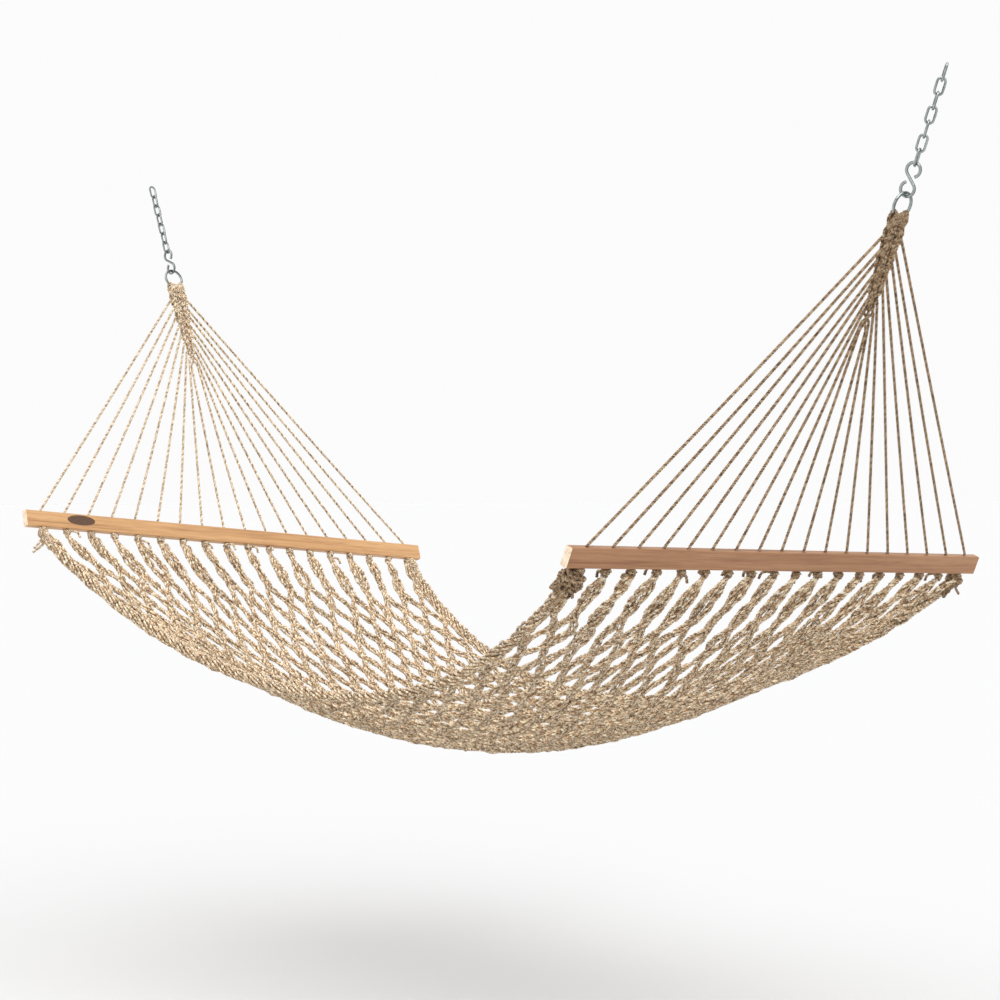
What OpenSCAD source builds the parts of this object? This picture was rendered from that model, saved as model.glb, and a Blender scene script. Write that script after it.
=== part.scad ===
// Rope hammock with two spreader bars, hung from a short chain at each end.
// Millimetres, +Z up, +X from the left hanging point to the right one, Y across the bed.
// The origin is the eye of the left end link, where the hammock is hung.

/* [Hanging] */
// angle of each line of pull above the horizontal, degrees
pull_angle = 68.2; // [50:0.1:80]
// half the distance between the two bars
bar_half_span = 1026; // [800:1:1200]
// distance from a bar's centre to the ring's centre, along the line of pull
clew_length = 819; // [600:1:1000]
// how far the left bar hangs out of level, +Y end down, degrees
left_bar_tilt = 5.6; // [0:0.1:8]
// how far the right bar hangs out of level, +Y end down, degrees
right_bar_tilt = 2.6; // [0:0.1:8]

/* [Spreader bars] */
// bar length
bar_length = 1397; // [1000:1:1600]
// bar width, the way the holes run
bar_width = 44.5; // [30:0.5:60]
// bar thickness
bar_thick = 19; // [12:0.5:30]
// number of rope holes in a bar
hole_count = 18; // [10:1:24]
// distance between two holes
hole_pitch = 76.2; // [50:0.1:90]
// rope hole diameter
hole_d = 9; // [6:0.5:12]
// width of the flat planed off each long arris
arris = 1.6; // [0:0.1:4]

/* [Rope] */
// diameter of the clew and net rope
rope_d = 6; // [4:0.5:8]
// diameter of the bundle of ropes along each edge of the bed
edge_d = 22; // [12:1:30]
// diameter of the knot under each bar hole
knot_d = 16; // [10:1:20]

/* [Bed] */
// depth of the bed's centre below the level of its ends
bed_sag = 474; // [200:1:600]
// depth of the bed's edges below the level of their ends
edge_sag = 344; // [200:1:600]
// how far each edge draws in at mid length
edge_draw = 128; // [0:1:250]
// thickness of the net
bed_thick = 9; // [4:1:16]
// how fast the bed drops away from the bars
sag_power = 2.2; // [1.6:0.1:3]

/* [Clew neck] */
// distance from the ring's centre to the row that frees the outermost ropes
first_row = 62; // [40:1:90]
// distance between two woven rows
row_pitch = 28; // [20:0.5:40]
// neck width at the ring
neck_width = 46; // [30:1:60]
// neck thickness
neck_thick = 14; // [8:1:20]

/* [Hardware] */
// ring wire diameter
ring_wire = 7; // [5:0.5:9]
// ring outside diameter
ring_d = 62; // [45:1:80]
// hook wire diameter
hook_wire = 7; // [5:0.5:9]
// centre-line radius of the hook's loops
hook_r = 15.5; // [12:0.5:20]
// slope of the hook's shank away from the line of pull, degrees
hook_slope = 48; // [44:1:60]
// chain wire diameter
link_wire = 5.5; // [4:0.5:7]
// outside length of a link
link_length = 42; // [30:0.5:50]
// outside width of a link
link_width = 23; // [18:0.5:30]
// links in each chain
link_count = 7; // [5:1:9]
// clearance between two pieces that hang in each other
play = 0.5; // [0.3:0.1:1]

/* [Hidden] */
$fn = 32;
sides = ["left", "right"];
ropes = hole_count / 2;
tilt = [-left_bar_tilt, -right_bar_tilt];
lean = 90 - pull_angle;
ring_r = (ring_d - ring_wire) / 2;
link_r = (link_width - link_wire) / 2;
link_reach = link_length - link_wire;
knot_drop = 1 + knot_d / 2;
hook_reach = 2 * hook_r * (1 + 1 / sin(hook_slope));
// stations along the line of pull, measured from the ring's centre towards the hanging point
hook_low = ring_r - (ring_wire + hook_wire) / 2 - play;
hook_high = hook_low + hook_reach;
link_one = hook_high - (hook_wire + link_wire) / 2 - play;
link_step = link_reach - link_wire - play;
end_drop = 0.4;
anchor_at = link_low(link_count) + link_reach - link_wire / 2 - 3;
// turn of each link about the line of pull, left chain then right chain
twists = [[2, -2, 3, 0, -3, 0, 0], [24, 32, 38, 42, 42, 42, 42]];
hook_twist = [4, 14];
ring_x = bar_half_span + clew_length * cos(pull_angle);
ring_z = clew_length * sin(pull_angle);
anchor_x = ring_x + anchor_at * cos(pull_angle);
anchor_z = ring_z + anchor_at * sin(pull_angle);

function sgn(side) = side == 0 ? -1 : 1;
function link_low(k) = link_one + (k - 1) * link_step - (k == link_count ? end_drop : 0);
// a point on the line of pull
function pull_pt(side, s) = [
    anchor_x + sgn(side) * (ring_x + s * cos(pull_angle)),
    0,
    ring_z - anchor_z + s * sin(pull_angle)];
function rot_x(p, t) = [p[0], p[1] * cos(t) - p[2] * sin(t), p[1] * sin(t) + p[2] * cos(t)];
function rot_y(p, t) = [p[0] * cos(t) + p[2] * sin(t), p[1], -p[0] * sin(t) + p[2] * cos(t)];
// a bar's own axes: X through its thickness, Y along it, Z along its holes to the ring
function bar_pt(side, p) = [anchor_x + sgn(side) * bar_half_span, 0, -anchor_z]
    + rot_x(rot_y(p, sgn(side) * lean), tilt[side]);
function hole_y(k) = (k - (hole_count - 1) / 2) * hole_pitch;
function mix(a, b, t) = a * (1 - t) + b * t;

// the bed's middle surface: u runs from the left end to the right one, v across
bed_start = bar_width / 2 + knot_drop + knot_d / 2 + 1;
hole_half = hole_y(hole_count - 1);
function bed_end(side, v) = bar_pt(side, [0, v * hole_half, -bed_start]);
function draw_in(u) = 1 - (1 - u * u) * edge_draw / hole_half;
function drop(u, v) = (1 - pow(abs(u), sag_power)) * (bed_sag - (bed_sag - edge_sag) * v * v);
function bed_pt(u, v) =
    let (a = bed_end(0, v), b = bed_end(1, v), t = (u + 1) / 2, m = mix(a, b, t))
    [m[0], m[1] * draw_in(u), m[2] - drop(u, v)];
function unit(p) = p / norm(p);
function bed_normal(u, v) =
    unit(cross(bed_pt(u + 0.01, v) - bed_pt(u - 0.01, v), bed_pt(u, v + 0.01) - bed_pt(u, v - 0.01)));

steel = [0.72, 0.74, 0.76];
oak = [0.80, 0.60, 0.38];
rope = [0.74, 0.66, 0.54];

module at_pull(side, s, turn = 0) {
    translate(pull_pt(side, s))
        rotate([0, sgn(side) * lean, 0])
            rotate([0, 0, turn])
                children();
}

module at_bar(side) {
    translate([anchor_x + sgn(side) * bar_half_span, 0, -anchor_z])
        rotate([tilt[side], 0, 0])
            rotate([0, sgn(side) * lean, 0])
                children();
}

// a ball of rope at a point
module ball(p, d) {
    translate(p)
        sphere(d = d, $fn = 24);
}

// part of a ring of round wire in the XZ plane, from angle a0 round by sweep
module wire_arc(r, d, a0, sweep) {
    rotate([90, 0, 0])
        rotate([0, 0, a0])
            rotate_extrude(angle = sweep, $fn = 48)
                translate([r, 0])
                    circle(d = d, $fn = 24);
}

// one chain link standing on its lower bow's wire centre, flat in the XZ plane
module link_shape() {
    straight = link_reach - 2 * link_r;
    translate([0, 0, link_r])
        wire_arc(link_r, link_wire, 180, 180);
    translate([0, 0, link_r + straight])
        wire_arc(link_r, link_wire, 0, 180);
    for (x = [-link_r, link_r])
        translate([x, 0, link_r])
            cylinder(d = link_wire, h = straight, $fn = 24);
}

// links alternate a quarter turn; link 1 stands across the hook
module chain_link(side, k) {
    color(steel)
        at_pull(side, link_low(k), twists[side][k - 1] + (k % 2 == 1 ? 90 : 0))
            link_shape();
}

// closed S hook, flat in the XZ plane about its middle: each loop turns from its free tip
// over the bow and runs straight into the shank
hook_tip = -60;
hook_turn = 12;
function loop_pt(a) = [hook_r * cos(a), 0, hook_reach / 2 - hook_r + hook_r * sin(a)];
hook_path = concat(
    [for (a = [hook_tip : hook_turn : 180 + hook_slope]) loop_pt(a)],
    [for (a = [180 + hook_slope : -hook_turn : hook_tip]) -loop_pt(a)]);

module s_hook(side) {
    color(steel)
        at_pull(side, hook_low + hook_reach / 2, hook_twist[side])
            tube(hook_path, hook_wire, 12);
}

module ring(side) {
    color(steel)
        at_pull(side, 0)
            rotate([0, 0, 90])
                wire_arc(ring_r, ring_wire, 0, 360);
}

// a rectangle with its corners cut off
function cut_corners(w, h, c) = [
    [w / 2, h / 2 - c], [w / 2 - c, h / 2], [c - w / 2, h / 2], [-w / 2, h / 2 - c],
    [-w / 2, c - h / 2], [c - w / 2, -h / 2], [w / 2 - c, -h / 2], [w / 2, c - h / 2]];

module spreader_bar(side) {
    color(oak)
        at_bar(side)
            difference() {
                rotate([90, 0, 0])
                    linear_extrude(bar_length, center = true)
                        polygon(cut_corners(bar_thick, bar_width, arris));
                for (k = [0 : hole_count - 1])
                    translate([0, hole_y(k), 0])
                        cylinder(d = hole_d, h = bar_width + 2, center = true, $fn = 24);
            }
}

// a tube of straight runs through the points of a path, mitred at the bends
module tube(path, d, n = 10) {
    last = len(path) - 1;
    pts = [for (i = [0 : last])
        let (before = unit(path[max(i, 1)] - path[max(i, 1) - 1]),
             after = unit(path[min(i, last - 1) + 1] - path[min(i, last - 1)]),
             along = unit(before + after),
             x = unit(cross([0, 1, 0], before)),
             y = cross(before, x))
        each [for (k = [0 : n - 1])
            let (r = (x * cos(k * 360 / n) + y * sin(k * 360 / n)) * d / 2)
            path[i] + r - before * (r * along) / (before * along)]];
    polyhedron(points = pts, faces = concat(
        [for (i = [0 : last - 1]) for (k = [0 : n - 1])
            let (a = i * n + k, b = i * n + (k + 1) % n)
            each [[a, b + n, b], [a, a + n, b + n]]],
        [[for (k = [0 : n - 1]) k]],
        [[for (k = [0 : n - 1]) last * n + n - 1 - k]]
    ));
}

// half the neck's width at a station below the ring
neck_tip = first_row + (ropes - 1) * row_pitch + 4;
tip_half = 6;
function neck_half(s) = mix(neck_width / 2, tip_half, max(0, (s - first_row) / (neck_tip - first_row)));

// one clew rope doubled over the ring: its two legs leave the woven neck in the same row,
// run to a mirrored pair of holes and pass through the bar
module clew_rope(side, i) {
    row = first_row + (i - 1) * row_pitch;
    top = pull_pt(side, -row);
    color(rope)
        for (k = [i - 1, hole_count - i]) {
            bend_at = bar_pt(side, [0, hole_y(k), bar_width / 2 + rope_d / 2 + 0.5]);
            under = bar_pt(side, [0, hole_y(k), -bar_width / 2 - 0.9]);
            clear = (neck_half(row) + 0.9 * rope_d) / abs(hole_y(k));
            tube([mix(top, bend_at, clear), bend_at, under], rope_d);
        }
}

// flat woven wedge, looped round the ring's lower arc
module clew_neck(side) {
    span = asin(neck_width / 2 / (ring_r + 6));
    color(rope)
        difference() {
            union() {
                at_pull(side, 0)
                    rotate([0, 0, 90])
                        wire_arc(ring_r, ring_wire + 11, 270 - span, 2 * span);
                at_pull(side, 0)
                    rotate([90, 0, 90])
                        linear_extrude(neck_thick, center = true)
                            polygon([
                                [-neck_width / 2, -ring_r - 2],
                                [-neck_width / 2, -first_row],
                                [-tip_half, -neck_tip],
                                [tip_half, -neck_tip],
                                [neck_width / 2, -first_row],
                                [neck_width / 2, -ring_r - 2]
                            ]);
            }
            at_pull(side, 0)
                rotate([0, 0, 90])
                    wire_arc(ring_r, ring_wire + 0.6, 0, 360);
        }
}

// the knot that stops each clew rope under the bar and holds the net's end loop
module bar_knots(side) {
    color(rope)
        for (k = [0 : hole_count - 1])
            ball(bar_pt(side, [0, hole_y(k), -bar_width / 2 - knot_drop]), knot_d);
}

// the net as closed curved panels a hair apart, so that each is nearly flat
panels_along = 12;
panels_across = 6;
panel_nu = 4;
panel_nv = 3;
panel_gap = [0.0006, 0.0012];
module bed_panel(u0, u1, v0, v1) {
    us = [for (i = [0 : panel_nu]) mix(u0, u1, i / panel_nu)];
    vs = [for (j = [0 : panel_nv]) mix(v0, v1, j / panel_nv)];
    n = panel_nv + 1;
    m = (panel_nu + 1) * n;
    pts = [for (s = [1, -1]) for (u = us) for (v = vs) bed_pt(u, v) + bed_normal(u, v) * s * bed_thick / 2];
    polyhedron(points = pts, faces = concat(
        [for (i = [0 : panel_nu - 1]) for (j = [0 : panel_nv - 1]) let (a = i * n + j) each
            [[a, a + 1, a + n + 1], [a, a + n + 1, a + n]]],
        [for (i = [0 : panel_nu - 1]) for (j = [0 : panel_nv - 1]) let (a = m + i * n + j) each
            [[a, a + n + 1, a + 1], [a, a + n, a + n + 1]]],
        [for (i = [0 : panel_nu - 1]) let (a = i * n) each
            [[a, a + n, m + a + n], [a, m + a + n, m + a]]],
        [for (i = [0 : panel_nu - 1]) let (a = i * n + panel_nv) each
            [[a, m + a + n, a + n], [a, m + a, m + a + n]]],
        [for (j = [0 : panel_nv - 1]) let (a = j) each
            [[a, m + a + 1, a + 1], [a, m + a, m + a + 1]]],
        [for (j = [0 : panel_nv - 1]) let (a = panel_nu * n + j) each
            [[a, a + 1, m + a + 1], [a, m + a + 1, m + a]]]
    ));
}

module bed_net() {
    color(rope)
        for (i = [0 : panels_along - 1])
            for (j = [0 : panels_across - 1])
                bed_panel(
                    -1 + 2 * i / panels_along + panel_gap[0],
                    -1 + 2 * (i + 1) / panels_along - panel_gap[0],
                    -1 + 2 * j / panels_across + panel_gap[1],
                    -1 + 2 * (j + 1) / panels_across - panel_gap[1]);
}

// the bundle of ropes along one long edge, swept beside the net's edge
edge_n = 56;
edge_sides = 10;
edge_reach = 0.985;
edge_gap = 1.2;
edge_lift = 1;
edge_bow = 2;
function edge_pt(v, t) =
    let (u = (2 * t - 1) * edge_reach, p = bed_pt(u, v), bow = edge_bow * (1 - u * u))
    [p[0], p[1] + v * (edge_d / 2 + edge_gap + bow), p[2] + edge_lift + bow];
module edge_rope(v) {
    ring_pts = [for (i = [0 : edge_n])
        let (t = i / edge_n, p = edge_pt(v, t), h = 0.005,
             d = unit(edge_pt(v, t + h) - edge_pt(v, t - h)),
             a = unit(cross(d, [0, 1, 0])), b = cross(d, a))
        each [for (k = [0 : edge_sides - 1])
            p + (a * cos(k * 360 / edge_sides) + b * sin(k * 360 / edge_sides)) * edge_d / 2]];
    last = edge_n * edge_sides;
    color(rope)
        polyhedron(points = ring_pts, faces = concat(
            [for (i = [0 : edge_n - 1]) for (k = [0 : edge_sides - 1])
                let (a = i * edge_sides + k, b = i * edge_sides + (k + 1) % edge_sides)
                each [[a, a + edge_sides, b + edge_sides], [a, b + edge_sides, b]]],
            [[for (k = [0 : edge_sides - 1]) k]],
            [[for (k = [0 : edge_sides - 1]) last + edge_sides - 1 - k]]
        ));
}

// the whipping that ties an edge rope to the outermost clew rope
corner_d = 36;
corner_out = 26;
corner_drop = 20;
module corner_knot(side, v) {
    color(rope)
        ball(bar_pt(side, [0, v * (hole_half + corner_out), -bar_width / 2 - corner_drop]), corner_d);
}

edge_names = ["near", "far"];

for (s = [0, 1]) {
    spreader_bar(s);
    bar_knots(s);
    clew_neck(s);
    ring(s);
    s_hook(s);
    for (i = [1 : ropes])
        clew_rope(s, i);
    for (k = [1 : link_count])
        chain_link(s, k);
    for (e = [0, 1])
        corner_knot(s, e == 0 ? -1 : 1);
}
edge_rope(-1);  // near_edge_rope
edge_rope(1);  // far_edge_rope
bed_net();
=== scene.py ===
# %% [markdown]
# # A rope hammock
# The hammock is two oak bars, a bed knotted from one long tweed rope, and a fan of ropes from
# each bar to a steel ring that hangs by a hook from a chain. Everything soft on it is rope, so
# the lesson is mostly about one thing: a curve with a three-lobed outline swept along it and
# turned as it goes, which is what a laid rope is.

# %% Frame
import math
import random

import bmesh
import bpy
from mathutils import Matrix, Vector, noise


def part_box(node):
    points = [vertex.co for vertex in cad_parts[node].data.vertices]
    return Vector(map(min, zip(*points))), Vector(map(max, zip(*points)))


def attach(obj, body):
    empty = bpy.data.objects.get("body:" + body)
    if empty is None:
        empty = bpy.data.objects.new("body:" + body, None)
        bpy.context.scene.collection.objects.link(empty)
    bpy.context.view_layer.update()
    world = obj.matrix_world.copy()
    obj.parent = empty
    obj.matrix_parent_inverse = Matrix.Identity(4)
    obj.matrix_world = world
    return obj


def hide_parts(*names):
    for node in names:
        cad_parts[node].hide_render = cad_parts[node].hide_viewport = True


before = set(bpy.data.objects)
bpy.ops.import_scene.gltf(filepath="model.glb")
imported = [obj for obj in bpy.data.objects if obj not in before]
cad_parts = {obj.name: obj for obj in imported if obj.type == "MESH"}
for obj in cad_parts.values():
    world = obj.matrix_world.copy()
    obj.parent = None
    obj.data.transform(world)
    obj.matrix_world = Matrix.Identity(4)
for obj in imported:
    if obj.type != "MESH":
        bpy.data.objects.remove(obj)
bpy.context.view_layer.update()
rng = random.Random(7)
print("frame:", len(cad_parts), "nodes")

# %% [markdown]
# The hammock's own landmarks come from the frame: the middle of each bar and ring. The line of
# pull on each side runs from the bar's middle to the ring's middle and on along the chain. Only
# the bars' lean out of level and the shape of the sag are given here as numbers.

# %% Landmarks
SIDES = ("left", "right")
ACROSS = Vector((0.0, 1.0, 0.0))
BAR_LEAN = {"left": math.radians(-5.6), "right": math.radians(-2.6)}
BAR_WIDTH = 0.0445
BAR_THICK = 0.019
BAR_LENGTH = 1.397
HOLES = 18
HOLE_PITCH = 0.0762
ROPE_R = 0.003


def middle(node):
    """The middle of a node's box."""
    low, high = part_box(node)
    return (Vector(low) + Vector(high)) / 2


def outward(side):
    return -1.0 if side == "left" else 1.0


bar_mid = {s: middle(s + "_spreader_bar") for s in SIDES}
ring_mid = {s: middle(s + "_ring") for s in SIDES}
pull = {s: (ring_mid[s] - bar_mid[s]).normalized() for s in SIDES}


def bar_axes(side):
    """Along the holes towards the ring, along the bar, and through its thickness."""
    turn = Matrix.Rotation(BAR_LEAN[side], 3, "X")
    up = turn @ pull[side]
    along = turn @ ACROSS
    return up, along, along.cross(up)


def bar_point(side, along, up, thick=0.0):
    """A point so far from the bar's middle along it, towards the ring and through it."""
    u, a, t = bar_axes(side)
    return bar_mid[side] + a * along + u * up + t * thick


def hole_y(k):
    """How far hole k lies along the bar from its middle."""
    return (k - (HOLES - 1) / 2) * HOLE_PITCH


def rounded(point):
    return [round(c, 3) for c in point]


for s in SIDES:
    print(s, "bar at", rounded(bar_mid[s]), "ring at", rounded(ring_mid[s]))

# %% [markdown]
# The camera stands to the near right of the bed at about the height of the bars, with a long
# lens, so the near bar end looks only a little larger than the far one.

# %% Camera
EYE = Vector((5.625, -3.841, -0.803))
VIEW_TURN = math.radians(46.83)
VIEW_DROP = math.radians(1.16)
VIEW_ROLL = math.radians(0.08)
LENS_MM = 80.2

camera = bpy.data.objects.new("camera", bpy.data.cameras.new("camera"))
bpy.context.scene.collection.objects.link(camera)
camera.data.lens = LENS_MM
camera.data.sensor_width = 36.0
camera.data.clip_end = 200.0
ahead = Vector((-math.sin(VIEW_TURN) * math.cos(VIEW_DROP),
                math.cos(VIEW_TURN) * math.cos(VIEW_DROP),
                -math.sin(VIEW_DROP)))
camera.matrix_world = (Matrix.Translation(EYE)
                       @ ahead.to_track_quat("-Z", "Y").to_matrix().to_4x4()
                       @ Matrix.Rotation(-VIEW_ROLL, 4, "Z"))
bpy.context.scene.camera = camera
print("camera at", rounded(EYE))

# %% [markdown]
# ## Finishes
# Three finishes cover the whole object: tweed rope, oak and bright zinc. A small helper wires
# nodes together so that each finish reads as a short list of ingredients.

# %% Node helper
MIX_A, MIX_B = 6, 7


def grey(level):
    return (level, level, level)


class Finish:
    """A material with its principled shader, and short ways to add and join nodes."""

    def __init__(self, name):
        self.material = bpy.data.materials.new(name)
        self.material.use_nodes = True
        self.tree = self.material.node_tree
        self.shader = self.tree.nodes["Principled BSDF"]

    def node(self, kind, **sockets):
        made = self.tree.nodes.new(kind)
        for key, value in sockets.items():
            if key in made.inputs:
                made.inputs[key].default_value = value
            else:
                setattr(made, key, value)
        return made

    def join(self, a, out, b, into):
        self.tree.links.new(a.outputs[out], b.inputs[into])

    def ramp(self, source, out, stops):
        """Turns a number into a colour by the (place, colour) stops."""
        made = self.tree.nodes.new("ShaderNodeValToRGB")
        for i, (place, colour) in enumerate(stops):
            stop = made.color_ramp.elements[i] if i < 2 else made.color_ramp.elements.new(place)
            stop.position = place
            stop.color = (*(min(c, 1.0) for c in colour), 1.0)
        self.join(source, out, made, "Fac")
        return made

    def mix(self, factor, a, b, blend="MIX"):
        """a and b are colours or (node, output) pairs; factor is a number or such a pair."""
        made = self.tree.nodes.new("ShaderNodeMix")
        made.data_type = "RGBA"
        made.blend_type = blend
        if isinstance(factor, tuple):
            self.join(factor[0], factor[1], made, "Factor")
        else:
            made.inputs["Factor"].default_value = factor
        for socket, value in ((MIX_A, a), (MIX_B, b)):
            if isinstance(value, tuple) and len(value) == 2:
                self.tree.links.new(value[0].outputs[value[1]], made.inputs[socket])
            else:
                made.inputs[socket].default_value = (*value, 1.0)
        return made

    def bump(self, source, out, strength, distance, under=None):
        made = self.node("ShaderNodeBump", Strength=strength, Distance=distance)
        self.join(source, out, made, "Height")
        if under:
            self.join(under, "Normal", made, "Normal")
        return made


print("finish helper ready")

# %% [markdown]
# The rope is laid from yarns of cream, tan and two browns, which is what gives tweed rope its
# flecks. Flecks stretched along each strand follow the sweep's own map, where one direction runs
# along the rope and the other round it; larger patches drift slowly over the whole bed.

# %% Tweed rope
CREAM = (1.0, 0.87, 0.66)
TAN = (0.82, 0.59, 0.375)
BROWN = (0.29, 0.18, 0.095)
DARK = (0.07, 0.043, 0.025)
DEEP_STRAND = (0.53, 0.37, 0.225)


def tweed(name, run, shade):
    """run is how many flecks fit along the map's whole length; shade darkens the whole rope,
    painted shade on the right.
    """
    f = Finish(name)
    place = f.node("ShaderNodeTexCoord")
    stretch = f.node("ShaderNodeMapping")
    stretch.inputs["Scale"].default_value = (run, 3.0, 1.0)
    f.join(place, "UV", stretch, "Vector")
    fleck = f.node("ShaderNodeTexNoise", Scale=1.0, Detail=2.0, Roughness=0.6)
    f.join(stretch, "Vector", fleck, "Vector")
    parts = f.node("ShaderNodeSeparateXYZ")
    f.join(place, "UV", parts, "Vector")
    strands = f.ramp(parts, "Y", ((0.0, DEEP_STRAND), (0.3334, CREAM), (0.6667, TAN)))
    strands.color_ramp.interpolation = "CONSTANT"
    pale = f.ramp(fleck, "Fac", ((0.56, grey(0.0)), (0.60, grey(0.85))))
    laid = f.mix((pale, "Color"), (strands, "Color"), CREAM)
    deep = f.ramp(fleck, "Fac", ((0.42, grey(0.9)), (0.46, grey(0.0))))
    yarns = f.mix((deep, "Color"), (laid, "Result"), BROWN)
    cells = f.node("ShaderNodeTexVoronoi", Scale=260.0)
    f.join(place, "Object", cells, "Vector")
    speck = f.ramp(cells, "Color", ((0.14, grey(0.8)), (0.20, grey(0.0))))
    both = f.mix((speck, "Color"), (yarns, "Result"), DARK)
    patch = f.node("ShaderNodeTexNoise", Scale=9.0, Detail=3.0)
    f.join(place, "Object", patch, "Vector")
    # The shade colour multiplies the drifting patches; the dark right-hand one is painted shade.
    drift = f.ramp(patch, "Fac", ((0.3, tuple(0.86 * c for c in shade)), (0.7, shade)))
    toned = f.mix(1.0, (both, "Result"), (drift, "Color"), "MULTIPLY")
    f.join(toned, "Result", f.shader, "Base Color")
    fuzz = f.node("ShaderNodeTexNoise", Scale=1400.0, Detail=2.0)
    f.join(place, "Object", fuzz, "Vector")
    low = f.bump(fleck, "Fac", 0.5, 0.0006)
    f.join(f.bump(fuzz, "Fac", 0.35, 0.0003, low), "Normal", f.shader, "Normal")
    rough = f.ramp(fuzz, "Fac", ((0.3, grey(0.78)), (0.7, grey(0.95))))
    f.join(rough, "Color", f.shader, "Roughness")
    f.shader.inputs["Sheen Weight"].default_value = 0.15
    f.shader.inputs["Sheen Roughness"].default_value = 0.5
    f.shader.inputs["Specular IOR Level"].default_value = 0.25
    return f.material


LONG_RUN = 330.0
SHORT_RUN = 120.0
long_tweed = tweed("tweed_rope_long", LONG_RUN, (1.0, 0.98, 0.95))
# The right copy is much darker: it is painted shade on the right clew, knots and whippings.
short_tweed = {"left": tweed("tweed_rope_left", SHORT_RUN, (0.90, 0.90, 0.90)),
               "right": tweed("tweed_rope_right_painted_shade", SHORT_RUN, (0.46, 0.40, 0.34))}
print("tweed finishes made")

# %% [markdown]
# Oak is stripes of early and late wood that run along the bar, with finer pore streaks over
# them. The end grain is the same wood seen across the stripes, so it is paler and shows rings: one
# mask by distance along the bar swaps between the two.

# %% Oak
OAK_LIGHT = (0.66, 0.385, 0.18)
OAK_MID = (0.56, 0.31, 0.135)
OAK_DARK = (0.38, 0.19, 0.08)
OAK_END = (1.0, 0.80, 0.60)
END_SKIN = 0.0006


def oak(name, side, painted_shade_tint):
    """The tint multiplies the long faces, painted shade on the right; the grain is laid out in the
    bar's axes.
    """
    f = Finish(name)
    place = f.node("ShaderNodeTexCoord")
    centre = f.node("ShaderNodeMapping", vector_type="TEXTURE")
    centre.inputs["Location"].default_value = bar_mid[side]
    up, along, thick = bar_axes(side)
    turn = Matrix((thick, along, up)).transposed()
    centre.inputs["Rotation"].default_value = turn.to_euler()
    f.join(place, "Object", centre, "Vector")
    grain = f.node("ShaderNodeMapping")
    grain.inputs["Scale"].default_value = (60.0, 1.6, 60.0)
    f.join(centre, "Vector", grain, "Vector")
    rings = f.node("ShaderNodeTexNoise", Scale=1.0, Detail=5.0, Roughness=0.55, Distortion=0.9)
    f.join(grain, "Vector", rings, "Vector")
    stripe = f.ramp(rings, "Fac", ((0.30, OAK_DARK), (0.44, OAK_MID), (0.60, OAK_LIGHT)))
    pores = f.node("ShaderNodeMapping")
    pores.inputs["Scale"].default_value = (900.0, 14.0, 900.0)
    f.join(centre, "Vector", pores, "Vector")
    streak = f.node("ShaderNodeTexNoise", Scale=1.0, Detail=2.0)
    f.join(pores, "Vector", streak, "Vector")
    pore = f.ramp(streak, "Fac", ((0.36, (0.62, 0.55, 0.5)), (0.5, grey(1.0))))
    wood = f.mix(0.6, (stripe, "Color"), (pore, "Color"), "MULTIPLY")
    parts = f.node("ShaderNodeSeparateXYZ")
    f.join(centre, "Vector", parts, "Vector")
    reach = f.node("ShaderNodeMath", operation="ABSOLUTE")
    f.join(parts, "Y", reach, 0)
    at_end = f.node("ShaderNodeMath", operation="GREATER_THAN")
    at_end.inputs[1].default_value = BAR_LENGTH / 2 - END_SKIN
    f.join(reach, "Value", at_end, 0)
    face = f.node("ShaderNodeMapping")
    face.inputs["Scale"].default_value = (160.0, 0.0, 110.0)
    f.join(centre, "Vector", face, "Vector")
    arcs = f.node("ShaderNodeTexNoise", Scale=1.0, Detail=4.0, Distortion=1.2)
    f.join(face, "Vector", arcs, "Vector")
    end = f.ramp(arcs, "Fac", ((0.38, tuple(0.72 * c for c in OAK_END)), (0.6, OAK_END)))
    # The long faces take the tint; on the right bar it is painted shade.
    board = f.mix(1.0, (wood, "Result"), painted_shade_tint, "MULTIPLY")
    toned = f.mix((at_end, "Value"), (board, "Result"), (end, "Color"))
    f.join(toned, "Result", f.shader, "Base Color")
    sheen = f.ramp(rings, "Fac", ((0.3, grey(0.5)), (0.7, grey(0.36))))
    f.join(sheen, "Color", f.shader, "Roughness")
    low = f.bump(streak, "Fac", 0.25, 0.0003)
    f.join(f.bump(rings, "Fac", 0.15, 0.0006, low), "Normal", f.shader, "Normal")
    f.shader.inputs["Specular IOR Level"].default_value = 0.4
    f.shader.inputs["Coat Weight"].default_value = 0.12
    f.shader.inputs["Coat Roughness"].default_value = 0.3
    return f.material


# The right bar's copy is darker and redder: painted shade on its outer face, which looks down.
oak_of = {"left": oak("oak_left", "left", grey(1.0)),
          "right": oak("oak_right_painted_shade", "right", (0.60, 0.51, 0.49))}
print("oak finishes made")

# %% [markdown]
# Bright zinc plating is a pale metal with a faint crystal mottle, a few dull patches, fine
# scratches and two dark lines along the wire that are painted reflections.

# %% Zinc


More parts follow.
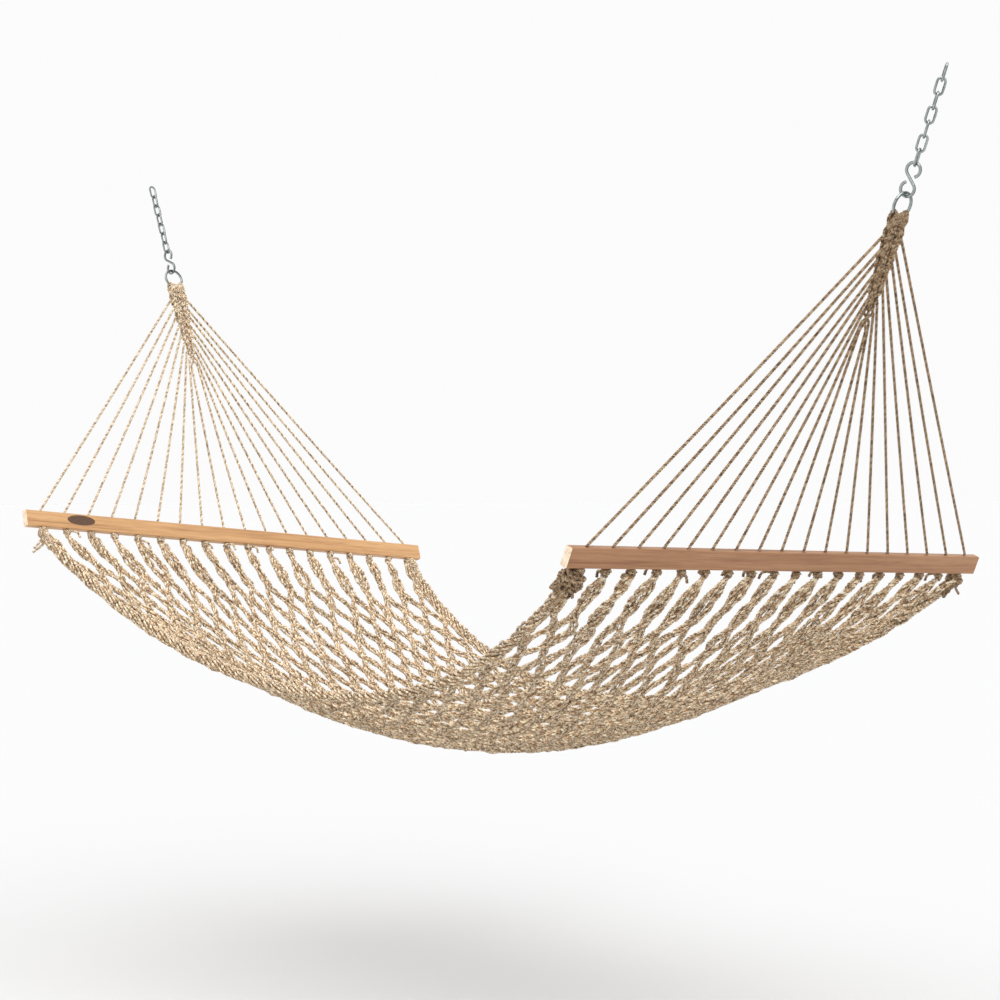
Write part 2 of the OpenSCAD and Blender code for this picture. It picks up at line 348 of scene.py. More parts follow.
def zinc(name, tone, rough_low, rough_high):
    """tone is the clean metal's colour; roughness lies between the two ends."""
    f = Finish(name)
    place = f.node("ShaderNodeTexCoord")
    spangle = f.node("ShaderNodeTexVoronoi", Scale=420.0)
    f.join(place, "Object", spangle, "Vector")
    dull = f.node("ShaderNodeTexNoise", Scale=90.0, Detail=5.0)
    f.join(place, "Object", dull, "Vector")
    tint = f.ramp(spangle, "Color", ((0.2, tuple(0.8 * c for c in tone)), (0.8, tone)))
    haze = f.ramp(dull, "Fac", ((0.4, (0.78, 0.8, 0.8)), (0.6, grey(1.0))))
    both = f.mix(1.0, (tint, "Color"), (haze, "Color"), "MULTIPLY")
    round_it = f.node("ShaderNodeSeparateXYZ")
    f.join(place, "UV", round_it, "Vector")
    # Two dark bands round the wire are painted reflections.
    painted_reflections = f.ramp(round_it, "Y", ((0.06, grey(1.0)), (0.22, grey(0.2)), (0.38, grey(1.0)),
                                   (0.6, grey(1.0)), (0.75, grey(0.25)), (0.9, grey(1.0))))
    lined = f.mix(1.0, (both, "Result"), (painted_reflections, "Color"), "MULTIPLY")
    f.join(lined, "Result", f.shader, "Base Color")
    rough = f.ramp(dull, "Fac", ((0.35, grey(rough_high)), (0.65, grey(rough_low))))
    f.join(rough, "Color", f.shader, "Roughness")
    scratch = f.node("ShaderNodeTexNoise", Scale=900.0, Detail=2.0)
    f.join(place, "Object", scratch, "Vector")
    f.join(f.bump(scratch, "Fac", 0.12, 0.0002), "Normal", f.shader, "Normal")
    f.shader.inputs["Metallic"].default_value = 1.0
    return f.material


zinc_plate = zinc("zinc_plate", (0.46, 0.50, 0.485), 0.10, 0.26)
print("zinc finish made")

# %% [markdown]
# ## The swept line
# Every rope, ring, hook and link is one shape swept along a path. Blender's curve does this: the
# path's points carry a tilt, which turns the outline as it goes, and a radius, which swells it.
# A laid rope takes an outline with three lobes and a steady tilt; steel wire takes a round one.
# The finished sweep is made a mesh so that its map and its faces are its own.

# %% Sweep helper


def outline(name, radius, lobes, points, depth):
    """A closed line round a rope or wire; depth is how deep the grooves between lobes go."""
    data = bpy.data.curves.new(name, "CURVE")
    data.dimensions = "2D"
    spline = data.splines.new("POLY")
    spline.points.add(points - 1)
    spline.use_cyclic_u = True
    for i in range(points):
        a = 2 * math.pi * i / points
        r = radius * (1 - depth / 2 + depth / 2 * math.cos(lobes * a))
        spline.points[i].co = (r * math.cos(a), r * math.sin(a), 0.0, 1.0)
    obj = bpy.data.objects.new(name, data)
    bpy.context.scene.collection.objects.link(obj)
    return obj


SLIM = outline("rope_outline_slim", ROPE_R * 1.27, 3, 6, 0.34)
FINE = outline("rope_outline_fine", ROPE_R * 1.24, 3, 12, 0.30)
ROUND = outline("wire_outline", 1.0, 0, 20, 0.0)
WELD = 1e-6


def sweep(name, paths, shape, material, body="hammock", lay=0.0, closed=False):
    """paths holds point lists, or (points, radii) pairs; lay is the length of one full turn."""
    data = bpy.data.curves.new(name, "CURVE")
    data.dimensions = "3D"
    data.bevel_mode = "OBJECT"
    data.bevel_object = shape
    data.use_fill_caps = not closed
    data.twist_mode = "MINIMUM"
    for path in paths:
        points, radii = path if isinstance(path, tuple) else (path, None)
        spline = data.splines.new("POLY")
        spline.points.add(len(points) - 1)
        spline.use_cyclic_u = closed
        run = -sum((b - a).length for a, b in zip(points, points[1:])) / 2
        for i, p in enumerate(points):
            if i:
                run += (p - points[i - 1]).length
            spline.points[i].co = (*p, 1.0)
            spline.points[i].tilt = 2 * math.pi * run / lay if lay else 0.0
            spline.points[i].radius = radii[i] if radii else 1.0
    holder = bpy.data.objects.new(name, data)
    bpy.context.scene.collection.objects.link(holder)
    bpy.context.view_layer.update()
    swept = holder.evaluated_get(bpy.context.evaluated_depsgraph_get())
    mesh = bpy.data.meshes.new_from_object(swept)
    bpy.data.objects.remove(holder)
    bpy.data.curves.remove(data)
    bm = bmesh.new()
    bm.from_mesh(mesh)
    bmesh.ops.remove_doubles(bm, verts=bm.verts, dist=WELD)
    bmesh.ops.recalc_face_normals(bm, faces=bm.faces)
    for face in bm.faces:
        face.smooth = True
    bm.to_mesh(mesh)
    bm.free()
    mesh.name = name
    mesh.materials.clear()
    mesh.materials.append(material)
    obj = bpy.data.objects.new(name, mesh)
    bpy.context.scene.collection.objects.link(obj)
    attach(obj, body)
    return obj


def smooth_path(points, step):
    """A Catmull-Rom curve through the points, at an even step."""
    dense = []
    for i in range(len(points) - 1):
        p0 = points[max(i - 1, 0)]
        p1, p2 = points[i], points[i + 1]
        p3 = points[min(i + 2, len(points) - 1)]
        pieces = max(2, int((p2 - p1).length / step))
        for j in range(pieces):
            t = j / pieces
            dense.append(0.5 * ((2 * p1) + (p2 - p0) * t + (2 * p0 - 5 * p1 + 4 * p2 - p3) * t * t
                                + (3 * p1 - p0 - 3 * p2 + p3) * t ** 3))
    dense.append(points[-1])
    return dense


FINE_STEP = 0.003
SLIM_STEP = 0.0042
print("sweep helper ready")

# %% [markdown]
# ## Bars
# The bars keep the exact planed and drilled shape of the frame and take the oak finish.

# %% Bars
for s in SIDES:
    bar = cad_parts[s + "_spreader_bar"]
    bar.data.materials.clear()
    bar.data.materials.append(oak_of[s])
print("bars finished in oak")

# %% [markdown]
# A small plain oval is burnt on the inner face of the left bar near its near end. It is a thin
# disc that lies just into the wood.

# %% Burnt stamp
STAMP_SIZE = (0.088, 0.029, 1.0)
STAMP_FROM_MIDDLE = 0.527
STAMP_THICK = 0.00025


def burnt():
    f = Finish("burnt_stamp")
    place = f.node("ShaderNodeTexCoord")
    char = f.node("ShaderNodeTexNoise", Scale=700.0, Detail=4.0)
    f.join(place, "Object", char, "Vector")
    tone = f.ramp(char, "Fac", ((0.35, (0.06, 0.033, 0.02)), (0.65, (0.16, 0.085, 0.045))))
    f.join(tone, "Color", f.shader, "Base Color")
    f.join(f.bump(char, "Fac", 0.3, 0.0002), "Normal", f.shader, "Normal")
    f.shader.inputs["Roughness"].default_value = 0.8
    return f.material


def stamp():
    bm = bmesh.new()
    oval = bmesh.ops.create_circle(bm, cap_ends=True, segments=48, radius=0.5)
    bmesh.ops.scale(bm, vec=STAMP_SIZE, verts=oval["verts"])
    pushed = bmesh.ops.extrude_face_region(bm, geom=list(bm.faces))
    raised = [v for v in pushed["geom"] if isinstance(v, bmesh.types.BMVert)]
    bmesh.ops.translate(bm, vec=(0.0, 0.0, STAMP_THICK), verts=raised)
    along, thick = bar_axes("left")[1:]
    inward = thick if thick.z > 0 else -thick
    right = along.cross(inward)
    if right.z < 0:
        right = -right
    turn = Matrix((along, right, inward)).transposed().to_4x4()
    spot = (bar_mid["left"] - along * STAMP_FROM_MIDDLE + right * 0.004
            + inward * (BAR_THICK / 2 - 0.0001))
    bmesh.ops.transform(bm, matrix=Matrix.Translation(spot) @ turn, verts=bm.verts)
    bmesh.ops.recalc_face_normals(bm, faces=bm.faces)
    mesh = bpy.data.meshes.new("left_bar_stamp")
    bm.to_mesh(mesh)
    bm.free()
    mesh.materials.append(burnt())
    obj = bpy.data.objects.new("left_bar_stamp", mesh)
    bpy.context.scene.collection.objects.link(obj)
    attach(obj, "hammock")


stamp()
print("stamp made")

# %% [markdown]
# ## Rings, hooks and chain
# All the hardware is bent round wire. A link is a racetrack, a ring a circle and the hook a
# double bow, each swept with a round outline; links and rings swell a little at their weld. The
# sizes fix where each piece bears on the next, with a little play between them.

# %% Hardware sizes
RING_WIRE = 0.007
RING_OUTER = 0.062
HOOK_WIRE = 0.007
HOOK_R = 0.0155
HOOK_SLOPE = math.radians(48)
LINK_WIRE = 0.0055
LINK_LENGTH = 0.042
LINK_WIDTH = 0.023
LINK_COUNT = 7
PLAY = 0.0005
END_DROP = 0.0004
TWISTS = {"left": (2, -2, 3, 0, -3, 0, 0), "right": (24, 32, 38, 42, 42, 42, 42)}
HOOK_TWIST = {"left": 4, "right": 14}

ring_r = (RING_OUTER - RING_WIRE) / 2
link_r = (LINK_WIDTH - LINK_WIRE) / 2
link_reach = LINK_LENGTH - LINK_WIRE
hook_reach = 2 * HOOK_R * (1 + 1 / math.sin(HOOK_SLOPE))
hook_low = ring_r - (RING_WIRE + HOOK_WIRE) / 2 - PLAY
link_one = hook_low + hook_reach - (HOOK_WIRE + LINK_WIRE) / 2 - PLAY
link_step = link_reach - LINK_WIRE - PLAY
print("links bear", round(link_step * 1000, 1), "mm apart")

# %% [markdown]
# Each line is drawn in its own flat frame, and on_pull then puts that frame on the line of pull.

# %% Wire lines


def link_low(k):
    """How far along the line of pull link k's lower bend lies."""
    return link_one + (k - 1) * link_step - (END_DROP if k == LINK_COUNT else 0.0)


def on_pull(side, station, turn=0.0):
    """A frame on the line of pull: Z along it to the hanging point, Y across the bed."""
    lean = math.atan2(pull[side].x, pull[side].z)
    return (Matrix.Translation(ring_mid[side] + pull[side] * station)
            @ Matrix.Rotation(lean, 4, "Y") @ Matrix.Rotation(math.radians(turn), 4, "Z"))


def racetrack():
    """A link's line and its swelling, which is at the weld on one straight side."""
    straight = link_reach - 2 * link_r
    points, radii = [], []
    for centre, start in ((link_r, 180), (link_r + straight, 0)):
        for i in range(17):
            a = math.radians(start + 180 * i / 16)
            points.append(Vector((link_r * math.cos(a), 0.0, centre + link_r * math.sin(a))))
            radii.append(1.0)
        if centre == link_r:
            x = link_r
            for part, swell in ((0.3, 1.0), (0.42, 1.06), (0.5, 1.1), (0.58, 1.06), (0.7, 1.0)):
                points.append(Vector((x, 0.0, link_r + straight * part)))
                radii.append(swell)
    return points, radii


def place_all(points, matrix):
    return [matrix @ p for p in points]


def wire(name, points, diameter, matrix, body, radii=None, closed=True):
    radii = [diameter / 2 * r for r in (radii or [1.0] * len(points))]
    obj = sweep(name, [(place_all(points, matrix), radii)], ROUND, zinc_plate, body, closed=closed)
    return obj


def link_body(side, k):
    """The top link stays on the hanging point, even links are the chain, odd ones twist."""
    if k == LINK_COUNT:
        return "hanging_points"
    return f"{side}_chain" if k % 2 == 0 else f"{side}_link_{k}"


track, track_radii = racetrack()
circle = [Vector((0.0, ring_r * math.cos(a), ring_r * math.sin(a)))
          for a in (2 * math.pi * i / 72 for i in range(72))]
weld = [1.0 + 0.08 * max(0.0, 1 - abs(i - 36) / 2.5) for i in range(72)]


def loop_point(a):
    return Vector((HOOK_R * math.cos(a), 0.0, hook_reach / 2 - HOOK_R + HOOK_R * math.sin(a)))


bow = [loop_point(math.radians(-60 + 6 * i)) for i in range(49)]
hook_line = bow + [-p for p in reversed(bow)]
print("wire lines:", len(track), "points on a link,", len(hook_line), "on a hook")

# %% [markdown]
# Every link, ring and hook then takes its place and rides on its own body.

# %% Hardware pieces
for s in SIDES:
    for k in range(1, LINK_COUNT + 1):
        turn = TWISTS[s][k - 1] + (90 if k % 2 else 0)
        part = wire(f"{s}_link_wire_{k}", track, LINK_WIRE, on_pull(s, link_low(k), turn),
                    link_body(s, k), track_radii)
        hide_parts(f"{s}_chain_link_{k}")
    part = wire(f"{s}_ring_wire", circle, RING_WIRE, on_pull(s, 0.0), "hammock", weld)
    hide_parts(f"{s}_ring")
    part = wire(f"{s}_hook_wire", hook_line, HOOK_WIRE,
                on_pull(s, hook_low + hook_reach / 2, HOOK_TWIST[s]), f"{s}_hook",
                closed=False)
    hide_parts(f"{s}_s_hook")
print("hardware:", 2 * LINK_COUNT, "links, 2 rings, 2 hooks")

# %% [markdown]
# ## Clews
# Nine doubled ropes hang from each ring. In the neck they run side by side in two layers and
# weave; at each row the outermost pair crosses right through and leaves on the other side, which
# locks the weave. From there each leg runs straight to its hole and through the bar.

# %% Clews
PAIRS = HOLES // 2
FIRST_ROW = 0.062
ROW_PITCH = 0.028
NECK_HALF = 0.027
NECK_TAPER = 0.55
LAYER = 0.0046
EVEN_ROWS = 7
ROW_CLOSER = 0.008
LEG_SAG = 0.0025


def neck_point(side, across, station, deep):
    """A point in the neck, station below the ring's middle."""
    return on_pull(side, -station) @ Vector((deep, across, 0.0))


def clew_leg(side, pair, hand):
    """hand is -1 or 1: the side of the neck on which the leg hangs; it leaves on the other."""
    slot = NECK_HALF * ((PAIRS - pair + 0.25) / PAIRS) ** NECK_TAPER * hand
    thin = 1 - 0.5 * (pair - 1) / (PAIRS - 1)
    layer = LAYER * thin * (1 if (pair + (hand > 0)) % 2 else -1)
    row = FIRST_ROW + (pair - 1) * ROW_PITCH - max(0, pair - EVEN_ROWS) * ROW_CLOSER
    wrap = RING_WIRE / 2 + ROPE_R
    hang = slot * 0.78
    dip = math.sqrt(ring_r ** 2 - hang ** 2)
    points = [neck_point(side, hang, dip + 0.016, -layer)]
    for a in (200, 250, 300, 350) if layer > 0 else (340, 290, 240, 190):
        r = math.radians(a)
        points.append(neck_point(side, hang, dip + wrap * math.sin(r), wrap * math.cos(r)))
    station = dip + 0.012
    sway = 1
    while station < row - 0.012:
        points.append(neck_point(side, slot, station, layer * (1.0 + 0.5 * sway)))
        sway = -sway
        station += ROW_PITCH / 2
    edge = 1.1 * NECK_HALF * ((PAIRS - pair + 1.2) / PAIRS) ** NECK_TAPER
    points.append(neck_point(side, slot, row - 0.008, layer * 1.3))
    points.append(neck_point(side, -hand * edge * 0.2, row, layer * 1.2))
    points.append(neck_point(side, -hand * edge, row + 0.010, layer * 0.4))
    k = HOLES - pair if hand < 0 else pair - 1
    mouth = bar_point(side, hole_y(k), BAR_WIDTH / 2 + ROPE_R * 1.2)
    under = bar_point(side, hole_y(k), -BAR_WIDTH / 2 - 0.004)
    start = points[-1]
    bend = smooth_path(points, FINE_STEP)
    count = max(4, int((mouth - start).length / FINE_STEP))
    sag = Vector((0.0, 0.0, -LEG_SAG))
    for i in range(1, count + 1):
        t = i / count
        bend.append(start.lerp(mouth, t) + sag * math.sin(math.pi * t))
    count = max(3, int((under - mouth).length / FINE_STEP))
    for i in range(1, count + 1):
        bend.append(mouth.lerp(under, i / count))
    return bend


LAY = 0.018
for s in SIDES:
    for pair in range(1, PAIRS + 1):
        obj = sweep(f"{s}_clew_rope_{pair}_laid", [clew_leg(s, pair, -1), clew_leg(s, pair, 1)],
                    FINE, short_tweed[s], lay=LAY)
        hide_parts(f"{s}_clew_rope_{pair}", f"{s}_clew_neck")
print("clews:", len(SIDES) * HOLES, "legs")

# %% [markdown]
# ## The bed's surface
# The bed hangs as a cradle. One function gives its surface: u runs from the left bar to the
# right, v across. The drop is deepest along the middle, and the long edges draw in.

# %% Bed surface
BED_SAG = 0.474
EDGE_SAG = 0.344
EDGE_DRAW = 0.128
SAG_POWER = 2.2
BED_START = BAR_WIDTH / 2 + 0.018
HOLE_HALF = hole_y(HOLES - 1)


def bed_end(side, v):
    return bar_point(side, v * HOLE_HALF, -BED_START)


END_MID = {s: bed_end(s, 0.0) for s in SIDES}
END_STEP = {s: bed_end(s, 1.0) - bed_end(s, 0.0) for s in SIDES}


def bed_point(u, v):
    """u and v run from -1 to 1, along the bed and across it."""
    t = (u + 1) / 2
    p = (END_MID["left"] + END_STEP["left"] * v).lerp(END_MID["right"] + END_STEP["right"] * v, t)
    p.y *= 1 - (1 - u * u) * EDGE_DRAW / HOLE_HALF
    p.z -= (1 - abs(u) ** SAG_POWER) * (BED_SAG - (BED_SAG - EDGE_SAG) * v * v)
    return p


def bed_frame(u, v):
    """The surface point, the direction across it and its normal."""
    p = bed_point(u, v)
    du = bed_point(min(u + 0.01, 1.0), v) - bed_point(max(u - 0.01, -1.0), v)
    dv = bed_point(u, v + 0.01) - bed_point(u, v - 0.01)
    n = du.cross(dv).normalized()
    return p, n.cross(du).normalized(), n


def run_table(v, count=240):
    """Arc length along the bed at v, so that rows fall at even spacing."""
    total, table, last = 0.0, [(0.0, -1.0)], bed_point(-1.0, v)
    for i in range(1, count + 1):
        u = -1 + 2 * i / count
        p = bed_point(u, v)
        total += (p - last).length
        table.append((total, u))
        last = p
    return table


def u_at(table, distance):
    """The u at that arc length, by halving."""
    low, high = 0, len(table) - 1
    while high - low > 1:
        mid = (low + high) // 2
        if table[mid][0] <= distance:
            low = mid
        else:
            high = mid
    a, b = table[low], table[high]
    t = (distance - a[0]) / max(b[0] - a[0], 1e-9)
    return a[1] + (b[1] - a[1]) * min(max(t, 0.0), 1.0)


MID_RUN = run_table(0.0)
print("bed length along the middle", round(MID_RUN[-1][0], 3), "m")

# %% [markdown]
# ## The net
# Thirty-six legs of four ropes each run from bar to bar, two to a hole. The ropes of a leg turn
# about each other. Neighbouring legs bow together and apart row by row, which opens the long
# diamonds, and where two legs meet they may swap a rope, which ties them. Near a bar the two
# legs of a hole twist into one thick bundle. Seeded noise keeps any two diamonds from being alike.

# %% Net
LEGS = 2 * HOLES
PLIES = 4
ROWS = 30
BOW = 0.33
TIED = {"left": 0.035, "right": 0.10}
FREED = 0.16
OWN_ROWS = 3
PLY_TURN = 0.15
HOLE_TURN = 0.34
NET_LAY = 0.030
EDGE_LIMIT = 0.995


def ease(t):
    """A smooth step from 0 to 1."""
    t = min(max(t, 0.0), 1.0)
    return t * t * (3 - 2 * t)


row_bow = [[rng.uniform(0.5, 1.4) for _ in range(ROWS + 3)] for _ in range(LEGS + 1)]


def leg_offset(leg, progress):
    """How far a leg bows towards a neighbour, in leg widths. progress runs 0 to ROWS."""
    r = int(min(max(math.floor(progress), 0), ROWS))
    t = ease(progress - r)

    def reach(row):
        toward = 1 if (leg + row) % 2 == 0 else -1
        pair = leg if toward > 0 else leg - 1
        return toward * BOW * row_bow[max(pair, 0)][min(max(row, 0), ROWS + 1)]

    return reach(r) * (1 - t) + reach(r + 1) * t


def leg_v(leg, progress, hold):
    """Where a leg lies across the bed; hold is 1 where its hole has it and 0 where it's free."""
    spread = 2 / (LEGS - 1)
    base = -0.975 + 1.95 * leg / (LEGS - 1)
    slip = noise.noise(Vector((progress * 0.13, leg * 0.22, 4.0))) * 0.6
    drift = noise.noise(Vector((progress * 0.10, leg * 0.12, 9.0))) * 1.1
    free = base + (leg_offset(leg, progress + slip) + drift) * spread
    tied = hole_y(leg // 2) / HOLE_HALF
    return min(max(free * (1 - hold) + tied * hold, -EDGE_LIMIT), EDGE_LIMIT)


print("net:", LEGS, "legs in", ROWS, "rows")

# %% [markdown]
# The ropes swap places row by row, by the seeded draw. seats lists for each rope, row by row, the
# leg it belongs to and its place in that leg. Near a bar only the two legs of one hole may swap.

# %% Seats
ident = {(leg, ply): leg * PLIES + ply for leg in range(LEGS) for ply in range(PLIES)}
seats = [[(leg, ply)] for leg in range(LEGS) for ply in range(PLIES)]
for row in range(ROWS + 1):
    order = dict(ident)
    for leg in range(LEGS - 1):
        meets = (leg + row) % 2 == 0
        open_row = OWN_ROWS < row < ROWS - OWN_ROWS or (leg % 2 == 0 and 0 < row < ROWS)
        if open_row and meets and rng.random() < 0.8:
            last, first = (leg, PLIES - 1), (leg + 1, 0)
            order[last], order[first] = order[first], order[last]
    ident = order
    for seat, rope in ident.items():
        seats[rope].append(seat)
print("seats:", sum(len(set(kept)) > 1 for kept in seats), "of", len(seats), "ropes change seat")

# %% [markdown]
# A rope's line follows its seat from row to row. Its leg turns about itself, close to a bar the
# two legs of a hole turn about each other as well, and where the seat changes the line crosses
# over. A little seeded noise loosens it.

# %% Net ropes
leg_phase = [rng.uniform(0, 2 * math.pi) for _ in range(LEGS)]
leg_turn = [rng.choice((-1, 1)) * rng.uniform(0.8, 1.2) for _ in range(LEGS)]
hole_free = {s: [rng.uniform(-0.02, 0.06) for _ in range(HOLES)] for s in SIDES}
SWAP = 0.22


def seat_point(seat, u, distance, length):
    """Where a rope in that seat of its leg lies. Near a bar the hole's two legs twist as one."""
    leg, ply = seat
    side = "left" if u < 0 else "right"
    from_end = min(distance, length - distance)
    hold = 1 - ease((from_end - TIED[side] - hole_free[side][leg // 2]) / FREED)
    v = leg_v(leg, distance / length * ROWS, hold)
    p, across, normal = bed_frame(u, v)
    turn = (leg_phase[leg] + leg_turn[leg] * 2 * math.pi * distance / PLY_TURN
            + ply * 2 * math.pi / PLIES)
    pinch = 0.55 + 0.45 * ease(from_end / 0.05)
    p = (p + across * (math.cos(turn) * ROPE_R * 2.2 * pinch)
         + normal * (math.sin(turn) * ROPE_R * 1.3 * pinch))
    both = leg_phase[leg // 2] + 2 * math.pi * distance / HOLE_TURN + math.pi * (leg % 2)
    part = hold * ROPE_R * 2.7 * pinch
    return p + across * (math.cos(both) * part * 1.2) + normal * (math.sin(both) * part * 0.8)


def wobble(spot):
    """A vector of noise from three readings far apart, the same on every run."""
    return Vector([noise.noise(spot + Vector((0.0, 31.7 * i, 5.3 * i))) for i in range(3)])


def net_rope(rope):
    """One rope's line from bar to bar, through its seat in every row."""
    length = MID_RUN[-1][0]
    count = int(length / SLIM_STEP)
    first, last = seats[rope][0], seats[rope][-1]
    wander = Vector((rope * 3.7, 1.3, 0.0))
    points = []
    for i in range(count + 1):
        distance = length * i / count
        u = u_at(MID_RUN, distance)
        progress = distance / length * ROWS
        row = min(int(progress), ROWS - 1)
        t = progress - row
        seat = seats[rope][row + 1]
        p = seat_point(seat, u, distance, length)
        share = 0.0
        if t < SWAP and row > 0:
            other, share = seats[rope][row], 0.5 - 0.5 * t / SWAP
        elif t > 1 - SWAP and row < ROWS - 1:
            other, share = seats[rope][row + 2], 0.5 * (t - 1 + SWAP) / SWAP
        if share > 0 and other != seat:
            p = p.lerp(seat_point(other, u, distance, length), ease(share))
        calm = ease(min(distance, length - distance) / 0.1)
        points.append(p + wobble(wander + Vector((distance * 20, 0.0, 0.0))) * 0.005 * calm)
    for side, seat in (("left", first), ("right", last)):
        end = bar_point(side, hole_y(seat[0] // 2) + (seat[1] - 1) * 0.004,
                        -BAR_WIDTH / 2 - 0.005, 0.003 * (seat[1] - 1))
        points.insert(0 if side == "left" else len(points), end)
    return points


PER_PIECE = 16
total = LEGS * PLIES
for part in range(total // PER_PIECE):
    runs = [net_rope(r) for r in range(part * PER_PIECE, (part + 1) * PER_PIECE)]
    obj = sweep(f"net_ropes_{part + 1}", runs, SLIM, long_tweed, lay=NET_LAY)
    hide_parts("bed_net")
print("net:", total, "ropes of", round(MID_RUN[-1][0], 2), "m")

# %% [markdown]
# ## Edges
# Along each long edge eight ropes are gathered into one thick, loosely turned bundle: one down
# the middle and seven about it.

# %% Edges
EDGE_ROPES = 8
EDGE_RUN = 2.3
EDGE_RING = 0.0088
EDGE_TURNS = 13


def edge_rope(v, index):
    """Rope 0 is the bundle's core; the others wind round it, more and less tightly."""
    count = int(EDGE_RUN / SLIM_STEP)
    points = []
    ring = 0.0 if index == 0 else EDGE_RING
    for i in range(count + 1):
        u = -0.985 + 1.97 * i / count
        p, across, normal = bed_frame(u, v)
        centre = p + Vector((0.0, v * (0.0108 + 0.002 * (1 - u * u)), 0.001))
        a = 2 * math.pi * (index / (EDGE_ROPES - 1) + i / count * EDGE_TURNS)
        loose = 1 + 0.7 * noise.noise(Vector((index * 5.1, u * 14, v * 3)))
        offset = (across * (math.cos(a) * ring * loose)
                  + normal * (math.sin(a) * ring * 1.1 * loose))
        gather = 1 - 0.45 * ease((abs(u) - 0.9) / 0.085)
        points.append(centre + offset * gather)
    return points


for name, v in (("near", -1.0), ("far", 1.0)):
    obj = sweep(f"{name}_edge_bundle", [edge_rope(v, i) for i in range(EDGE_ROPES)], SLIM,
                long_tweed, lay=NET_LAY)
    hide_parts(f"{name}_edge_rope")
print("edges made")

# %% [markdown]
# ## Knots
# Under each hole the clew rope ends in a knot that holds the net's end loops: two turns round
# and a short tail.

# %% Knots
COIL_POINTS = 9


def coil(centre, axis, radius, turns, lift, start):
    """Turns round an axis, with the radius a little uneven."""
    x = axis.orthogonal().normalized()
    y = axis.cross(x)
    steps = int(turns * COIL_POINTS)
    points = []
    for i in range(steps + 1):
        a = start + 2 * math.pi * i / COIL_POINTS
        r = radius * rng.uniform(0.88, 1.12)
        points.append(centre + x * (r * math.cos(a)) + y * (r * math.sin(a))
                      + axis * (lift * (i / steps - 0.5)))
    return points


def bar_knot(side, k):
    """A coil round the hole's line, a second one across it, and a tail that drops."""
    up, along, thick = bar_axes(side)
    centre = bar_point(side, hole_y(k), -BAR_WIDTH / 2 - 0.0085)
    flat = coil(centre, up, 0.0072, 1.9, 0.011, rng.uniform(0, 6.28))
    lean = (along * rng.choice((-1, 1)) + up * rng.uniform(-0.5, 0.5)
            + thick * rng.uniform(-0.4, 0.4))
    over = coil(centre - up * 0.003, lean.normalized(), 0.0082, 1.3, 0.009, rng.uniform(0, 6.28))
    out = (thick if thick.z > 0 else -thick) * rng.uniform(0.3, 1.0) + along * rng.uniform(-1, 1)
    out.normalize()
    tail = rng.uniform(0.012, 0.034)
    fall = Vector((0, 0, -1))
    end = [over[-1] + out * 0.006, over[-1] + out * (0.004 + tail * 0.6) + fall * tail * 0.25,
           over[-1] + out * (0.004 + tail * 0.85) + fall * tail * 0.8]
    return smooth_path(flat + over + end, FINE_STEP)


for s in SIDES:
    obj = sweep(f"{s}_bar_knot_row", [bar_knot(s, k) for k in range(HOLES)], FINE,
                short_tweed[s], lay=LAY)
    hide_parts(f"{s}_bar_knots")
print("bar knots:", len(SIDES) * HOLES)

# %% [markdown]
# Each corner has a larger, untidy whipping that ties the edge bundle to the last hole's knot:
# wraps that wander along the bundle, then a loose tail or two. The near right one is the bulkiest.

# %% Corner whippings
CORE_STRANDS = 6
CORE_R = 0.008


def tangle(top, low, t0, t1, radius, points):
    """A rope wound anyhow about the line from top to low."""
    axis = (low - top).normalized()
    x = axis.orthogonal().normalized()
    y = axis.cross(x)
    a = rng.uniform(0, 2 * math.pi)
    path = []
    for i in range(points):
        t = t0 + (t1 - t0) * (0.5 - 0.5 * math.cos(i * rng.uniform(0.5, 0.9)))
        a += math.radians(rng.uniform(60, 115))
        r = radius * rng.uniform(0.55, 1.25)
        path.append(top.lerp(low, t) + x * (r * math.cos(a)) + y * (r * math.sin(a)))
    return smooth_path(path, FINE_STEP)


def whipping(side, v):
    """Wraps and stray loops round the bundle from the last hole to the edge, then loose tails."""
    along, thick = bar_axes(side)[1:]
    big = 1.7 if (side, v) == ("right", -1.0) else 1.0
    top = bar_point(side, v * (HOLE_HALF + 0.006), -BAR_WIDTH / 2 - 0.010)
    low = bed_point(0.945 * outward(side), v) + Vector((0.0, v * 0.012, 0.0))
    runs = [tangle(top, low, 0.05, 0.45, 0.0135 * big, 16) for _ in range(3)]
    runs += [tangle(top, low, 0.3, 0.85, 0.0125 * big, 14) for _ in range(2)]
    for tail in range(2 if v < 0 else 1):
        path = [top.lerp(low, 0.2 + 0.25 * tail)]
        away = Vector((rng.uniform(-0.5, 0.5), v * rng.uniform(0.1, 0.7), -1.0)).normalized()
        for i in range(1, 5):
            path.append(path[0] + away * (0.011 * i * big) + along * (v * 0.001 * i * i))
        runs.append(smooth_path(path, FINE_STEP))
    for strand in range(CORE_STRANDS):
        a = 2 * math.pi * strand / CORE_STRANDS
        shift = along * (CORE_R * math.cos(a)) + thick * (CORE_R * math.sin(a))
        path = [top + shift * 0.5, top.lerp(low, 0.35) + shift, top.lerp(low, 0.7) + shift,
                low + shift * 0.8]
        runs.append(smooth_path(path, FINE_STEP))
    return runs


for s in SIDES:
    for name, v in (("near", -1.0), ("far", 1.0)):
        obj = sweep(f"{s}_{name}_whipping", whipping(s, v), FINE, short_tweed[s], lay=LAY)
        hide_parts(f"{s}_{name}_corner_knot")
print("whippings: 4")

for shape in (SLIM, FINE, ROUND):
    data = shape.data
    bpy.data.objects.remove(shape)
    bpy.data.curves.remove(data)
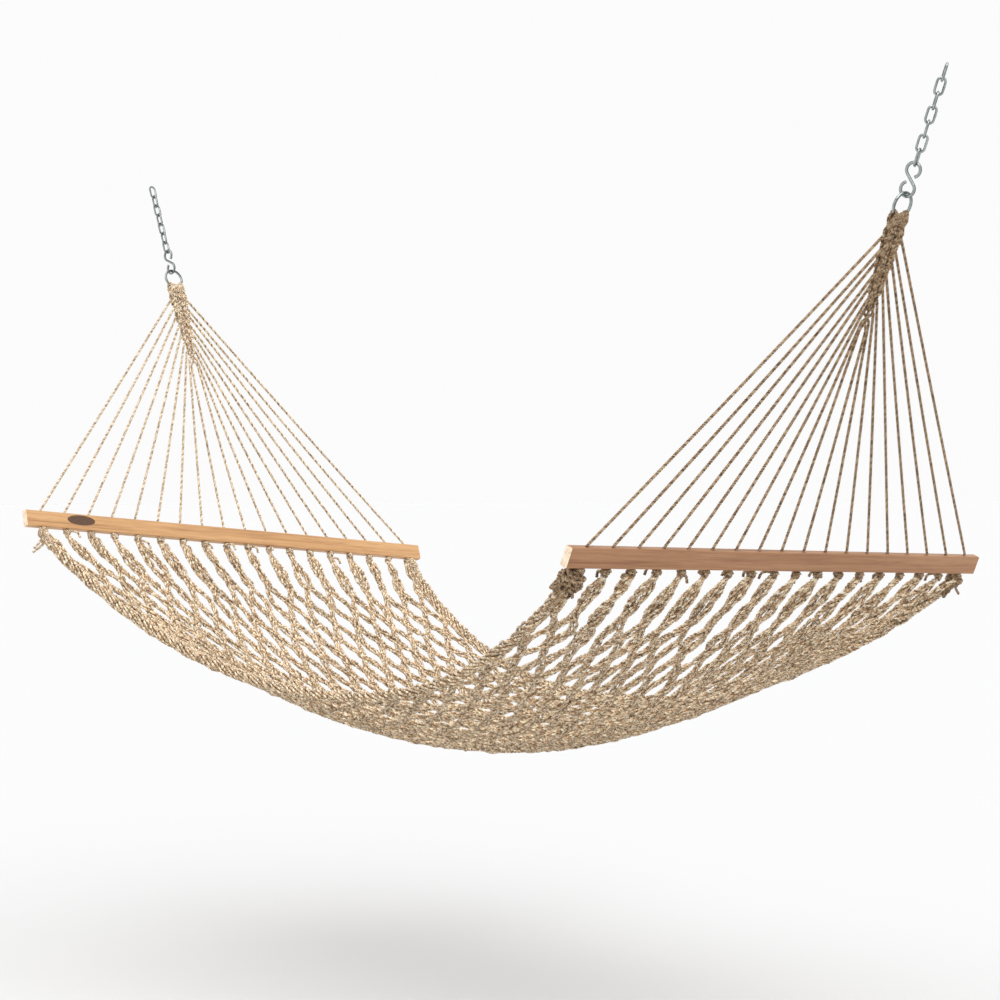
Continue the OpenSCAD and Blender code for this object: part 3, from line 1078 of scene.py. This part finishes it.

# %% [markdown]
# ## Floor and light
# The hammock hangs over a plain pale floor in soft light from above, so faces that look up are
# bright and faces that look down, such as the right bar's outer face, are in shade; that face and
# the right clew ropes also carry painted shade in their colours.

# %% Floor
FLOOR_Z = -2.2


def floor():
    bm = bmesh.new()
    bmesh.ops.create_circle(bm, cap_ends=True, segments=64, radius=60.0)
    bmesh.ops.translate(bm, vec=(1.44, 0.0, FLOOR_Z), verts=bm.verts)
    mesh = bpy.data.meshes.new("floor")
    bm.to_mesh(mesh)
    bm.free()
    f = Finish("pale_floor")
    f.shader.inputs["Base Color"].default_value = (*grey(0.69), 1.0)
    f.shader.inputs["Roughness"].default_value = 0.9
    f.shader.inputs["Specular IOR Level"].default_value = 0.1
    mesh.materials.append(f.material)
    obj = bpy.data.objects.new("floor", mesh)
    bpy.context.scene.collection.objects.link(obj)


floor()
print("floor at", FLOOR_Z)

# %% [markdown]
# A white surround gives even light from every side, a little less from straight above. One very
# soft sun comes down over the near left, so it casts no sharp shadow.

# %% Light
bpy.context.scene.view_settings.view_transform = "Standard"
world = bpy.data.worlds.new("studio")
world.use_nodes = True
sky = world.node_tree
backdrop = sky.nodes["Background"]
place = sky.nodes.new("ShaderNodeTexCoord")
height = sky.nodes.new("ShaderNodeSeparateXYZ")
fade = sky.nodes.new("ShaderNodeValToRGB")
fade.color_ramp.elements[0].position = 0.25
fade.color_ramp.elements[0].color = (1.0, 1.0, 1.0, 1.0)
fade.color_ramp.elements[1].position = 0.9
fade.color_ramp.elements[1].color = (0.55, 0.55, 0.56, 1.0)
sky.links.new(place.outputs["Generated"], height.inputs["Vector"])
sky.links.new(height.outputs["Z"], fade.inputs["Fac"])
sky.links.new(fade.outputs["Color"], backdrop.inputs["Color"])
backdrop.inputs["Strength"].default_value = 0.97
bpy.context.scene.world = world

overhead = bpy.data.objects.new("overhead", bpy.data.lights.new("overhead", "SUN"))
overhead.data.energy = 2.5
overhead.data.angle = math.radians(80)
overhead.rotation_euler = Vector((-0.34, 0.22, -0.91)).to_track_quat("-Z", "Y").to_euler()
bpy.context.scene.collection.objects.link(overhead)
print("lights set")
